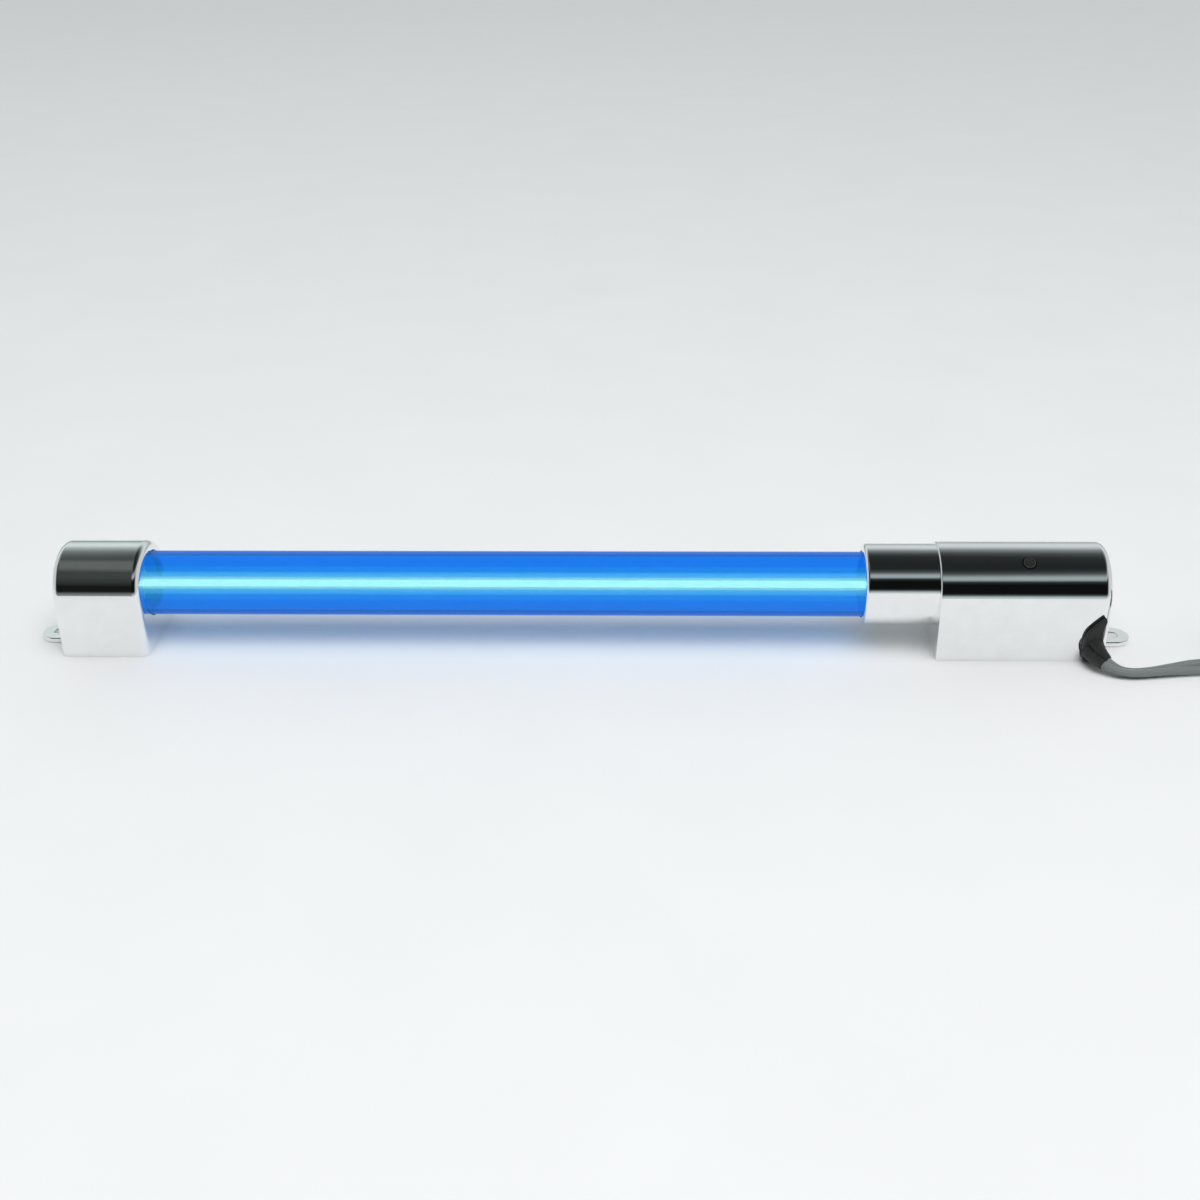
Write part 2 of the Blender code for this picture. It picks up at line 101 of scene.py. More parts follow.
HANK_RUN = 54.0
HANK_TURN_R = 10.0
HANK_PITCH = 2.3
HANK_TURNS = 4
HANK_PINCH = 8.55
HANK_LOW_Z = 3.1
HANK_HIGH_Z = 7.6
HANK_TOP = 9.8
HANK_RUN_STEPS = 22
HANK_TURN_STEPS = 24
HANK_LEAD_IN = 10.0
ON_EDGE = 90.0
TIE_ROUND_R = 2.6
TIE_LOW = 0.35
TIE_HIGH = HANK_TOP + 0.55
TWIST_Z = HANK_TOP + 1.45
TWIST_R = 0.55
TWIST_ANGLE = 2.5 * math.pi
TWIST_PART = 0.8
TWIST_LENGTH = 11.0
PLUG_Y = -14.0
PLUG_Z = 10.6
PLUG_STEPS = 6
PLUG_BORE_R = 2.95
PLUG_GRIP_R = 10.4
CONTACT_SLOT_START = 308.4
CONTACT_SLOT_END = 322.6
CONTACT_SLOT_HALF_Z = 1.6
FUSE_ROOM_R = 4.3
FLUTES = 16


# ---------------------------------------------------------------- mesh helpers
def add(name, data):
    obj = bpy.data.objects.new(name, data)
    bpy.context.scene.collection.objects.link(obj)
    return obj


def mesh_object(name, verts, faces):
    """New mesh from points in millimetres, its faces turned outward."""
    mesh = bpy.data.meshes.new(name)
    mesh.from_pydata([Vector(v) * MM for v in verts], [], faces)
    shape = bmesh.new()
    shape.from_mesh(mesh)
    bmesh.ops.recalc_face_normals(shape, faces=shape.faces)
    shape.to_mesh(mesh)
    shape.free()
    return add(name, mesh)


def loft(name, rings, closed=False):
    """Skin over rings of equal length: capped at both ends, or closed into a loop."""
    count = len(rings[0])
    verts = [point for ring in rings for point in ring]
    faces = []
    for k in range(len(rings) if closed else len(rings) - 1):
        low, high = k * count, ((k + 1) % len(rings)) * count
        for i in range(count):
            j = (i + 1) % count
            faces.append((low + i, low + j, high + j, high + i))
    if not closed:
        faces.append(tuple(range(count)))
        faces.append(tuple(range(len(verts) - count, len(verts))))
    return mesh_object(name, verts, faces)


def prism(name, outline, low, high, axis):
    """Flat outline drawn out from low to high along one axis."""
    def spot(a, b, along):
        return {"x": (along, a, b), "y": (a, along, b), "z": (a, b, along)}[axis]
    return loft(name, [[spot(a, b, along) for a, b in outline] for along in (low, high)])


def block(name, low, high):
    outline = [(low[0], low[1]), (high[0], low[1]), (high[0], high[1]), (low[0], high[1])]
    return prism(name, outline, low[2], high[2], "z")


def turned(name, origin, direction, profile, segments=64, ring=False):
    """Profile of (distance along, radius) turned about an axis; a ring has a bore through it."""
    axis = Vector(direction).normalized()
    side = axis.orthogonal().normalized()
    if abs(axis.z) < 0.9:
        side = Vector((0, 0, 1)).cross(axis).normalized()
    up = axis.cross(side)
    rings = []
    for along, radius in profile:
        centre = Vector(origin) + axis * along
        angles = [2 * math.pi * i / segments for i in range(segments)]
        rings.append([centre + (side * math.cos(a) + up * math.sin(a)) * radius for a in angles])
    return loft(name, rings, closed=ring)


def combine(body, other, operation):
    """Exact boolean of body with other, which is used up."""
    step = body.modifiers.new("shape", "BOOLEAN")
    step.operation = operation
    step.solver = "EXACT"
    step.object = other
    bpy.context.view_layer.update()
    graph = bpy.context.evaluated_depsgraph_get()
    shaped = bpy.data.meshes.new_from_object(body.evaluated_get(graph))
    body.modifiers.clear()
    body.data = shaped
    bpy.data.objects.remove(other, do_unlink=True)


def smooth(obj, degrees=30.0, weighted=True):
    """Smooth shading that keeps edges sharper than the given angle."""
    obj.data.shade_smooth()
    obj.data.set_sharp_from_angle(angle=math.radians(degrees))
    if weighted:
        step = obj.modifiers.new("even_normals", "WEIGHTED_NORMAL")
        step.keep_sharp = True
        step.weight = 100
    return obj


def stand_for(obj, material, body, slot, *nodes):
    """Give a new piece its material and let it take over the CAD nodes it shows."""
    obj.data.materials.clear()
    obj.data.materials.append(material)
    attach(obj, body)
    if nodes:
        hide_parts(*nodes)
    return obj


# ---------------------------------------------------------------- materials
def surface(name, color, rough, metallic=0.0, spread=0.04, scale=900.0, bump=0.0, bump_scale=2500.0,
            tint=0.12, stretch=(1.0, 1.0, 1.0)):
    """Principled surface whose colour, roughness and relief vary with fine noise."""
    noise_low, noise_high = 0.3, 0.7
    mat = bpy.data.materials.new(name)
    mat.use_nodes = True
    tree = mat.node_tree
    shader = tree.nodes["Principled BSDF"]
    shader.inputs["Metallic"].default_value = metallic
    where = tree.nodes.new("ShaderNodeTexCoord")
    fit = tree.nodes.new("ShaderNodeMapping")
    fit.inputs["Scale"].default_value = stretch
    tree.links.new(where.outputs["Object"], fit.inputs["Vector"])
    noise = tree.nodes.new("ShaderNodeTexNoise")
    noise.inputs["Scale"].default_value = scale
    noise.inputs["Detail"].default_value = 4.0
    tree.links.new(fit.outputs["Vector"], noise.inputs["Vector"])
    shade = tree.nodes.new("ShaderNodeValToRGB")
    shade.color_ramp.elements[0].position = noise_low
    shade.color_ramp.elements[1].position = noise_high
    shade.color_ramp.elements[0].color = (*[c * (1 - tint) for c in color], 1)
    shade.color_ramp.elements[1].color = (*[min(1.0, c * (1 + tint)) for c in color], 1)
    tree.links.new(noise.outputs["Fac"], shade.inputs["Fac"])
    tree.links.new(shade.outputs["Color"], shader.inputs["Base Color"])
    rub = tree.nodes.new("ShaderNodeMapRange")
    rub.inputs["From Min"].default_value = noise_low
    rub.inputs["From Max"].default_value = noise_high
    rub.inputs["To Min"].default_value = max(0.0, rough - spread)
    rub.inputs["To Max"].default_value = rough + spread
    tree.links.new(noise.outputs["Fac"], rub.inputs["Value"])
    tree.links.new(rub.outputs["Result"], shader.inputs["Roughness"])
    if bump:
        fine = tree.nodes.new("ShaderNodeTexNoise")
        fine.inputs["Scale"].default_value = bump_scale
        fine.inputs["Detail"].default_value = 3.0
        tree.links.new(fit.outputs["Vector"], fine.inputs["Vector"])
        relief = tree.nodes.new("ShaderNodeBump")
        relief.inputs["Strength"].default_value = 1.0
        relief.inputs["Distance"].default_value = bump
        tree.links.new(fine.outputs["Fac"], relief.inputs["Height"])
        tree.links.new(relief.outputs["Normal"], shader.inputs["Normal"])
    return mat


def chrome(name):
    return surface(name, (0.9, 0.91, 0.91), 0.035, metallic=1.0, spread=0.02, scale=260.0, tint=0.02,
                   bump=0.0000016, bump_scale=220.0)


def rubber(name):
    return surface(name, (0.018, 0.019, 0.019), 0.55, spread=0.08, tint=0.25, bump=0.00002,
                   bump_scale=1800.0)


def plastic(name, tone=0.02, rough=0.42):
    return surface(name, (tone, tone, tone * 1.05), rough, spread=0.07, tint=0.2, bump=0.00002,
                   bump_scale=2600.0)


def metal(name, color=(0.55, 0.56, 0.57), rough=0.28):
    return surface(name, color, rough, metallic=1.0, spread=0.08, scale=600.0, tint=0.1, bump=0.000004)


def shine(mat, color, strength):
    """Let a material give off light and return its shader."""
    shader = mat.node_tree.nodes["Principled BSDF"]
    shader.inputs["Emission Color"].default_value = (*color, 1)
    shader.inputs["Emission Strength"].default_value = strength
    return shader


def glow(name, color, strength, alpha, base, rough):
    """Lit surface, seen through where alpha is low."""
    mat = surface(name, base, rough, spread=0.03, scale=500.0, tint=0.06)
    shine(mat, color, strength).inputs["Alpha"].default_value = alpha
    return mat


def tinted(name, tint, rough, ior, color, strength):
    """Clear tinted acrylic that also glows a little of its own colour."""
    mat = surface(name, tint, rough, spread=0.01, scale=300.0, tint=0.02)
    shader = shine(mat, color, strength)
    shader.inputs["Transmission Weight"].default_value = 1.0
    shader.inputs["IOR"].default_value = ior
    return mat


# ---------------------------------------------------------------- camera
# place in metres and the directions of the picture's right, its top and the view
CAMERA_PLACE = (0.023803, -0.391385, 0.203746)
CAMERA_RIGHT = (0.999219, 0.036725, -0.014616)
CAMERA_UP = (-0.002997, 0.439106, 0.898431)
CAMERA_AHEAD = (-0.039413, 0.897685, -0.438873)
CAMERA_LENS = 44.2


def make_camera():
    data = bpy.data.cameras.new("camera")
    data.sensor_width = 36.0
    data.lens = CAMERA_LENS
    data.clip_start = 0.01
    data.clip_end = 60.0
    cam = add("camera", data)
    turn = Matrix((CAMERA_RIGHT, CAMERA_UP, -Vector(CAMERA_AHEAD))).transposed().to_4x4()
    cam.matrix_world = Matrix.Translation(CAMERA_PLACE) @ turn
    bpy.context.scene.camera = cam


# ---------------------------------------------------------------- flat lead
# x, y, z of the centre and the roll of the wide side: 0 lies flat, ON_EDGE stands upright
LEAD_ROUTE = [
    (147.7, -11.4, 4.9, 55.0),
    (147.7, -14.8, 4.8, 50.0),
    (148.4, -18.0, 4.1, 32.0),
    (150.4, -20.8, 3.0, 10.0),
    (153.6, -22.6, 1.9, -8.0),
    (157.6, -23.1, 1.45, -14.0),
    (163.0, -22.4, 1.45, -12.0),
    (169.0, -21.5, 1.8, 6.0),
    (176.0, -20.95, 2.3, 46.0),
    (186.0, -20.85, 2.8, 82.0),
    (197.1, -20.9, 3.1, ON_EDGE),
]
PLUG_ROUTE = [
    (269.0, -20.9, 7.6, ON_EDGE),
    (274.0, -20.2, 8.1, ON_EDGE),
    (279.0, -18.1, 9.1, ON_EDGE),
    (284.0, -15.6, 10.2, ON_EDGE),
    (289.0, -14.15, 10.6, ON_EDGE),
    (294.0, -14.0, 10.6, ON_EDGE),
    (299.0, -14.0, 10.6, ON_EDGE),
]


def smooth_route(points, steps):
    """Catmull-Rom curve through the points, with the roll eased along with the place."""
    first = tuple(2 * a - b for a, b in zip(points[0], points[1]))
    last = tuple(2 * a - b for a, b in zip(points[-1], points[-2]))
    knots = [first, *points, last]
    curve = []
    for k in range(1, len(knots) - 2):
        for i in range(steps):
            t = i / steps
            row = []
            for a, b, c, d in zip(knots[k - 1], knots[k], knots[k + 1], knots[k + 2]):
                bend = (2 * a - 5 * b + 4 * c - d) * t * t + (3 * b - a - 3 * c + d) * t ** 3
                row.append(0.5 * (2 * b + (c - a) * t + bend))
            curve.append(tuple(row))
    curve.append(tuple(points[-1]))
    return curve


def hank_turns():
    """Turns of the tied hank: inward on the lower layer, outward on the upper one."""
    half = 0.5 * HANK_RUN
    radii = [HANK_TURN_R + HANK_PITCH * k for k in range(HANK_TURNS)]
    order = [(r, HANK_LOW_Z) for r in reversed(radii)] + [(r, HANK_HIGH_Z) for r in radii]
    route = []
    for k, (radius, z) in enumerate(order):
        last = k == len(order) - 1
        after, z_after = order[min(k + 1, len(order) - 1)]
        for side in (-1, 1):
            for i in range(HANK_RUN_STEPS):
                x = side * half * (1 - 2 * i / HANK_RUN_STEPS)
                waist = HANK_PINCH * math.cos(math.pi * x / HANK_RUN) ** 2
                route.append((HANK_X + x, HANK_Y + side * (radius - waist), z, ON_EDGE))
            if last:
                return route
            for i in range(HANK_TURN_STEPS):
                t = i / HANK_TURN_STEPS
                ease = t * t * (3 - 2 * t) if side == 1 else 0.0
                r = radius + (after - radius) * ease
                angle = math.pi * (t - 0.5)
                x = -side * (half + r * math.cos(angle))
                y = -side * r * math.sin(angle)
                route.append((HANK_X + x, HANK_Y + y, z + (z_after - z) * ease, ON_EDGE))
    return route


def lead_section(grow=0.0):
    """Twin lead: two round cores side by side with a shallow groove between them."""
    half_wide, half_thick = 0.5 * LEAD_WIDTH + grow, 0.5 * LEAD_THICK + grow
    outline = []
    for side in (1, -1):
        for i in range(9):
            angle = math.pi * (i / 8 - 0.5)
            wide = side * (half_wide - half_thick + half_thick * math.cos(angle))
            outline.append((wide, side * half_thick * math.sin(angle)))
        outline.append((side * 0.4, side * half_thick * 0.94))
        outline.append((0.0, side * half_thick * 0.66))
        outline.append((-side * 0.4, side * half_thick * 0.94))
    return outline


def along_route(route, k, section):
    """One ring of the section at point k of the route, turned to the route's roll there."""
    x, y, z, roll = route[k]
    ahead = Vector(route[min(k + 1, len(route) - 1)][:3])
    behind = Vector(route[max(k - 1, 0)][:3])
    along = (ahead - behind).normalized()
    side = Vector((0, 0, 1)).cross(along).normalized()
    up = along.cross(side)
    wide = side * math.cos(math.radians(roll)) + up * math.sin(math.radians(roll))
    thin = along.cross(wide)
    return [Vector((x, y, z)) + wide * a + thin * b for a, b in section]


def make_relief():
    """Tapered ribbed rubber round the lead where it leaves the outlet."""
    route = smooth_route(LEAD_ROUTE, LEAD_STEPS)
    first, last = LEAD_STEPS, 3 * LEAD_STEPS - 1
    thick_wall, thin_wall, lead_gap = 1.25, 0.4, 0.06
    outside, inside = [], []
    for k in range(first, last + 1):
        t = (k - first) / (last - first)
        rib = 0.12 if (k - first) % 4 < 2 else -0.08
        wall = thick_wall + (thin_wall - thick_wall) * t + rib * (1 - t)
        outside.append(along_route(route, k, lead_section(wall)))
        inside.append(along_route(route, k, lead_section(lead_gap)))
    relief = loft("lead_relief", outside + inside[::-1], closed=True)
    return stand_for(smooth(relief, 60), rubber("relief_rubber"), "lamp", "cord_guard")


def make_lead():
    """The whole lead as one piece, from the outlet through the hank to the plug."""
    start = smooth_route(LEAD_ROUTE, LEAD_STEPS)
    route = [p for p in start if p[0] < HANK_X - 0.5 * HANK_RUN - HANK_LEAD_IN] + hank_turns()
    route += smooth_route(PLUG_ROUTE, PLUG_STEPS)
    rings = [along_route(route, k, lead_section()) for k in range(len(route))]
    cord = smooth(loft("flat_lead", rings), 60, weighted=False)
    vinyl = surface("lead_vinyl", (0.17, 0.195, 0.19), 0.32, spread=0.05, scale=1600.0, tint=0.05,
                    bump=0.000012, bump_scale=2600.0)
    stand_for(cord, vinyl, "lamp", "power_cord", "power_cord", "cord_hank", "plug_cord")


# ---------------------------------------------------------------- plated ends
def u_outline(inset, bottom=0.0):
    """End view of a plated shell: straight sides under a half round, moved in by the inset."""
    steps = 72
    radius = SHELL_R - inset
    outline = [(-radius, bottom)]
    for i in range(steps + 1):
        angle = math.pi * (1 - i / steps)
        outline.append((radius * math.cos(angle), SHELL_ARC_Z + radius * math.sin(angle)))
    outline.append((radius, bottom))
    return outline


def rounded_edge(rim):
    """Quarter round as (distance along, inset), from the face back to the full outline."""
    steps = 10
    angles = [math.pi / 2 * i / steps for i in range(steps + 1)]
    return [(rim * (1 - math.cos(a)), rim * (1 - math.sin(a))) for a in angles]


def u_shell(name, mouth, end, mouth_rim):
    """Solid U shape from its mouth to its outer end, both edges rounded."""
    way = 1.0 if end > mouth else -1.0
    sections = [(mouth + way * along, inset) for along, inset in rounded_edge(mouth_rim)]
    sections += [(end - way * along, inset) for along, inset in reversed(rounded_edge(END_RIM))]
    return loft(name, [[(x, y, z) for y, z in u_outline(inset)] for x, inset in sections])


def cut_notch(shell, sign):
    """Gap in the shell's end wall where the base plate's ear comes out."""
    low, high = sorted((sign * (BODY_END - SHELL_WALL - 2.2), sign * (BODY_END + CUT_PAST)))
    notch = block("notch", (low, -EAR_R - GAP, -CUT_PAST), (high, EAR_R + GAP, PLATE_T + GAP))
    combine(shell, notch, "DIFFERENCE")


def cut_mouth(shell, start, length):
    """Round socket for the tube, through the wall between its mouth and the hollow."""
    profile = [(0, MOUTH_R), (length, MOUTH_R)]
    combine(shell, turned("mouth", (start, 0, TUBE_AXIS_Z), (1, 0, 0), profile, 96), "DIFFERENCE")


def cut_room(shell, low, high):
    """Hollow of a shell, open at its base."""
    combine(shell, prism("room", u_outline(SHELL_WALL, -CUT_PAST), low, high, "x"), "DIFFERENCE")


def button_axis():
    return Vector((0, -math.cos(BUTTON_ANGLE), math.sin(BUTTON_ANGLE)))


def button_point(radius):
    return Vector((BUTTON_X, 0, SHELL_ARC_Z)) + button_axis() * radius


def make_cap():
    cap = u_shell("left_cap_shell", CAP_MOUTH, -BODY_END, CAP_MOUTH_RIM)
    cut_room(cap, -BODY_END + SHELL_WALL, CAP_MOUTH - SHELL_WALL)
    cut_mouth(cap, CAP_SOCKET_BACK, CAP_SOCKET_LENGTH)
    cut_notch(cap, -1.0)
    stand_for(smooth(cap), chrome("cap_plating"), "lamp", "left_cap", "left_cap")


def make_housing():
    shell = u_shell("housing_shell", BOX_START, BODY_END, BOX_STEP_RIM)
    profile = [(along, COLLAR_R - inset) for along, inset in rounded_edge(COLLAR_MOUTH_RIM)]
    profile.append((COLLAR_LENGTH, COLLAR_R))
    combine(shell, turned("collar", (COLLAR_START, 0, TUBE_AXIS_Z), (1, 0, 0), profile, 128), "UNION")
    cut_room(shell, BOX_START + SHELL_WALL, BODY_END - SHELL_WALL)
    cut_mouth(shell, COLLAR_START - CUT_PAST, COLLAR_SOCKET_LENGTH)
    cut_notch(shell, 1.0)
    combine(shell, prism("outlet", OUTLET_HOLE, -SHELL_R - CUT_PAST, -SHELL_R + 2.3, "y"), "DIFFERENCE")
    hole = [(0, BUTTON_HOLE_R), (8, BUTTON_HOLE_R)]
    cutter = turned("hole", button_point(BUTTON_HOLE_BASE), button_axis(), hole, 40)
    combine(shell, cutter, "DIFFERENCE")
    stand_for(smooth(shell), chrome("housing_plating"), "lamp", "right_housing", "right_housing")


def make_plate(name, sign, inner_end, screw_x):
    """Base plate with a holed ear at its outer end and a pair of screw seats at each place."""
    centre = EAR_TIP - EAR_R
    edge = BODY_END - SHELL_WALL - GAP
    outline = [(inner_end, -PLATE_HALF_Y), (edge, -PLATE_HALF_Y), (edge, -EAR_R)]
    for i in range(49):
        angle = math.pi * (i / 48 - 0.5)
        outline.append((centre + EAR_R * math.cos(angle), EAR_R * math.sin(angle)))
    outline += [(edge, EAR_R), (edge, PLATE_HALF_Y), (inner_end, PLATE_HALF_Y)]
    plate = prism(f"{name}_plated", [(sign * x, y) for x, y in outline], 0.0, PLATE_T, "z")
    soften = plate.modifiers.new("edges", "BEVEL")
    soften.width = PLATE_EDGE * MM
    soften.segments = 3
    soften.limit_method = "ANGLE"
    hole = [(0, EAR_HOLE_R), (2.35, EAR_HOLE_R), (2.5, EAR_HOLE_R + 0.15), (3.2, EAR_HOLE_R + 0.85)]
    combine(plate, turned("hole", (sign * centre, 0, -CUT_PAST), (0, 0, 1), hole, 64), "DIFFERENCE")
    seat = [(0, SCREW_HEAD_R), (1.95, SCREW_HEAD_R), (1.95, SCREW_HOLE_R), (4, SCREW_HOLE_R)]
    for x in screw_x:
        for side in (-1, 1):
            cutter = turned("seat", (x, side * BOSS_Y, -CUT_PAST), (0, 0, 1), seat, 32)
            combine(plate, cutter, "DIFFERENCE")
    stand_for(smooth(plate), chrome(f"{name}_plating"), "lamp", name, name)


# ---------------------------------------------------------------- outlet boot
# x and z on the housing's front: the boot's outline, the hole behind it and the neck in the hole
OUTLET_FACE = [(145.4, 0.5), (144.9, 2.0), (144.8, 5.5), (145.2, 8.2), (146.0, 10.1), (148.3, 12.5),
               (150.5, 14.5), (150.9, 13.1), (150.3, 11.6), (150.1, 9.6), (150.6, 5.6), (151.2, 2.2),
               (150.9, 0.5)]
OUTLET_HOLE = [(145.3, 1.9), (145.3, 7.9), (146.2, 9.8), (148.6, 11.4), (148.9, 10.4), (149.6, 8.6),
               (150.4, 5.2), (150.4, 1.9)]
GUARD_NECK = [(145.6, 2.2), (145.6, 7.7), (146.5, 9.5), (148.3, 10.7), (148.6, 10.2), (149.3, 8.4),
              (150.1, 5.1), (150.1, 2.2)]
# how far the boot stands out and how far its edge has drawn in there
BOOT_EDGE = [(0.0, 0.0), (1.0, 0.0), (1.3, 0.1), (1.45, 0.25), (1.5, 0.4)]


def rounded_outline(corners, pull, steps=5):
    """Closed outline with each corner rounded between points pulled along its two sides."""
    outline = []
    for k, corner in enumerate(corners):
        spot = Vector(corner)
        before, after = Vector(corners[k - 1]), Vector(corners[(k + 1) % len(corners)])
        start = spot.lerp(before, min(0.45, pull / (before - spot).length))
        end = spot.lerp(after, min(0.45, pull / (after - spot).length))
        for i in range(steps + 1):
            t = i / steps
            outline.append(start.lerp(spot, t).lerp(spot.lerp(end, t), t))
    return outline


def inset_outline(outline, inset):
    """Outline moved in by the inset."""
    shrunk = []
    for k, spot in enumerate(outline):
        along = (outline[(k + 1) % len(outline)] - outline[k - 1]).normalized()
        shrunk.append(spot + Vector((along.y, -along.x)) * inset)
    return shrunk


def exit_section(half_wide, half_thick):
    """Points of a flat rounded section, leaning as the lead does where it leaves."""
    steps = 24
    lean, rise = math.cos(LEAD_EXIT_ROLL), math.sin(LEAD_EXIT_ROLL)
    outline = []
    for i in range(steps):
        angle = 2 * math.pi * i / steps
        wide = math.copysign(abs(math.cos(angle)) ** 0.6, math.cos(angle)) * half_wide
        thin = math.copysign(abs(math.sin(angle)) ** 0.8, math.sin(angle)) * half_thick
        outline.append((LEAD_EXIT_X + wide * lean - thin * rise, LEAD_EXIT_Z + wide * rise + thin * lean))
    return outline


def make_boot():
    """Rubber lip on the housing's front, with a neck through the wall and a slot for the lead."""
    back = -SHELL_R - GAP
    face = rounded_outline(OUTLET_FACE, 1.0, 4)
    rings = [[(p.x, back - out, p.y) for p in inset_outline(face, inset)] for out, inset in BOOT_EDGE]
    boot = loft("outlet_boot", rings)
    neck = prism("neck", rounded_outline(GUARD_NECK, 0.6), back - 0.3,
                 -SHELL_R + SHELL_WALL + NECK_PAST_WALL, "y")
    combine(boot, neck, "UNION")
    section = exit_section(0.5 * LEAD_WIDTH + LEAD_SLOT_GAP, 0.5 * LEAD_THICK + LEAD_SLOT_GAP)
    combine(boot, prism("slot", section, back - 5.0, -SHELL_R + 4.0, "y"), "DIFFERENCE")
    return stand_for(smooth(boot, 40), rubber("boot_rubber"), "lamp", "cord_guard", "cord_guard")


# ---------------------------------------------------------------- tie, plug and button
# across the band and out from it: a flat strip with a raised wire along its outer side
TIE_SECTION = [(1.9, 0.0), (1.75, 0.2), (0.6, 0.16), (0.35, 0.32), (-0.35, 0.32), (-0.6, 0.16),
               (-1.75, 0.2), (-1.9, 0.0), (-1.75, -0.2), (1.75, -0.2)]


def make_tie():
    """Flat wire tie round the waist of the hank, its ends twisted together on top."""
    reach = HANK_TURN_R + HANK_PITCH * (HANK_TURNS - 1) + 0.5 * LEAD_THICK - HANK_PINCH + 0.7
    side, top, base = reach - TIE_ROUND_R, TIE_HIGH - TIE_ROUND_R, TIE_LOW + TIE_ROUND_R
    loop = []
    for start, (cy, cz) in enumerate(((side, top), (-side, top), (-side, base), (side, base))):
        for i in range(9):
            angle = math.pi / 2 * (start + i / 8)
            ny, nz = math.cos(angle), math.sin(angle)
            loop.append((HANK_Y + cy + TIE_ROUND_R * ny, cz + TIE_ROUND_R * nz, ny, nz))
    rings = [[(HANK_X + a, y + b * ny, z + b * nz) for a, b in TIE_SECTION] for y, z, ny, nz in loop]
    band = loft("tie_band", rings, closed=True)
    for start in (0.0, math.pi):
        strand = []
        for i in range(33):
            t = i / 32
            turn = start + TWIST_ANGLE * min(1.0, t / TWIST_PART)
            spread = TWIST_R + 4.0 * max(0.0, t - TWIST_PART)
            centre = Vector((HANK_X + spread * math.cos(turn), HANK_Y + 3.0 - TWIST_LENGTH * t,
                             TWIST_Z + TWIST_R * math.sin(turn)))
            lie = Vector((math.cos(turn + 1.2), 0, math.sin(turn + 1.2)))
            thin = Vector((-lie.z, 0, lie.x))
            strand.append([centre + lie * a * 0.45 + thin * b for a, b in TIE_SECTION])
        combine(band, loft("tie_end", strand), "UNION")
    return stand_for(smooth(band, 40), plastic("tie_plastic", 0.016, 0.35), "lamp", "hank_tie", "hank_tie")


def on_plug(name, profile, ring=False):
    return turned(name, (0, PLUG_Y, PLUG_Z), (1, 0, 0), profile, 96, ring)


def make_plug_boot():
    profile = [(288.5, PLUG_BORE_R), (288.5, 3.35), (288.75, 3.6)]
    for k in range(4):
        start, radius = 289.2 + 2.0 * k, 3.75 + 0.3 * k
        profile += [(start, radius), (start + 0.15, radius - 0.55), (start + 0.75, radius - 0.55),
                    (start + 0.9, radius + 0.05), (start + 1.2, radius + 0.15)]
    profile += [(297.3, 5.0), (297.6, 4.8), (297.6, PLUG_BORE_R)]
    boot = smooth(on_plug("plug_boot", profile, True), 40)
    return stand_for(boot, rubber("plug_boot_rubber"), "lamp", "plug_relief", "plug_relief")


def make_plug_shell():
    """Grip with a slot for each side contact, flutes above and below, and grooves at the front."""
    profile = [(297.9, PLUG_BORE_R), (297.9, 5.8), (298.1, 6.3), (299.0, 7.4), (300.5, 8.4), (303.0, 9.3),
               (306.0, 9.95), (308.2, 10.3), (309.0, PLUG_GRIP_R), (323.2, PLUG_GRIP_R), (323.6, 10.3),
               (324.3, 9.75), (324.7, 9.6)]
    for k in range(4):
        start = 325.6 + 1.7 * k
        profile += [(start, 9.57), (start + 0.2, 9.2), (start + 0.7, 9.2), (start + 0.9, 9.55)]
    profile += [(333.6, 9.3), (334.0, 9.0), (334.0, FUSE_ROOM_R), (303.0, FUSE_ROOM_R),
                (303.0, PLUG_BORE_R)]
    shell = on_plug("plug_shell", profile, True)
    for side in (-1, 1):
        low_y, high_y = sorted((PLUG_Y + side * 6.9, PLUG_Y + side * 12.0))
        window = block("slot", (CONTACT_SLOT_START, low_y, PLUG_Z - CONTACT_SLOT_HALF_Z),
                       (CONTACT_SLOT_END, high_y, PLUG_Z + CONTACT_SLOT_HALF_Z))
        combine(shell, window, "DIFFERENCE")
    for k in range(FLUTES):
        angle = 2 * math.pi * k / FLUTES
        if abs(math.sin(angle)) > 0.5:
            out = Vector((0, math.cos(angle), math.sin(angle)))
            spot = Vector((311.0, PLUG_Y, PLUG_Z)) + out * (PLUG_GRIP_R + 0.35)
            flute = turned("flute", spot, (1, 0, 0), [(0, 0.05), (0.5, 0.6), (10.0, 0.6), (10.5, 0.05)], 16)
            combine(shell, flute, "DIFFERENCE")
    return stand_for(smooth(shell, 35), plastic("plug_plastic"), "lamp", "plug_body", "plug_body")


def make_plug_ring():
    profile = [(334.3, 3.5), (334.3, 8.7), (334.5, 8.95), (334.8, 9.0), (335.7, 9.0), (335.9, 8.7),
               (336.2, 8.7), (336.4, 8.85), (337.0, 8.55), (340.6, 6.65), (341.0, 6.2), (341.0, 3.5)]
    collar = smooth(on_plug("plug_ring", profile, True), 40)
    return stand_for(collar, metal("plug_ring_steel"), "lamp", "plug_collar", "plug_collar")


def make_plug_pin():
    profile = [(330.6, 3.7), (330.8, 3.9), (332.4, 3.9), (332.6, 3.7), (332.6, 3.1), (343.4, 3.1)]
    for i in range(1, 9):
        angle = math.pi / 2 * i / 8
        profile.append((343.4 + 3.0 * math.sin(angle), 0.5 + 2.6 * math.cos(angle)))
    pin = smooth(on_plug("plug_pin", profile), 40)
    return stand_for(pin, metal("pin_brass", (0.78, 0.6, 0.28), 0.24), "plug_tip", "plug_tip", "plug_tip")


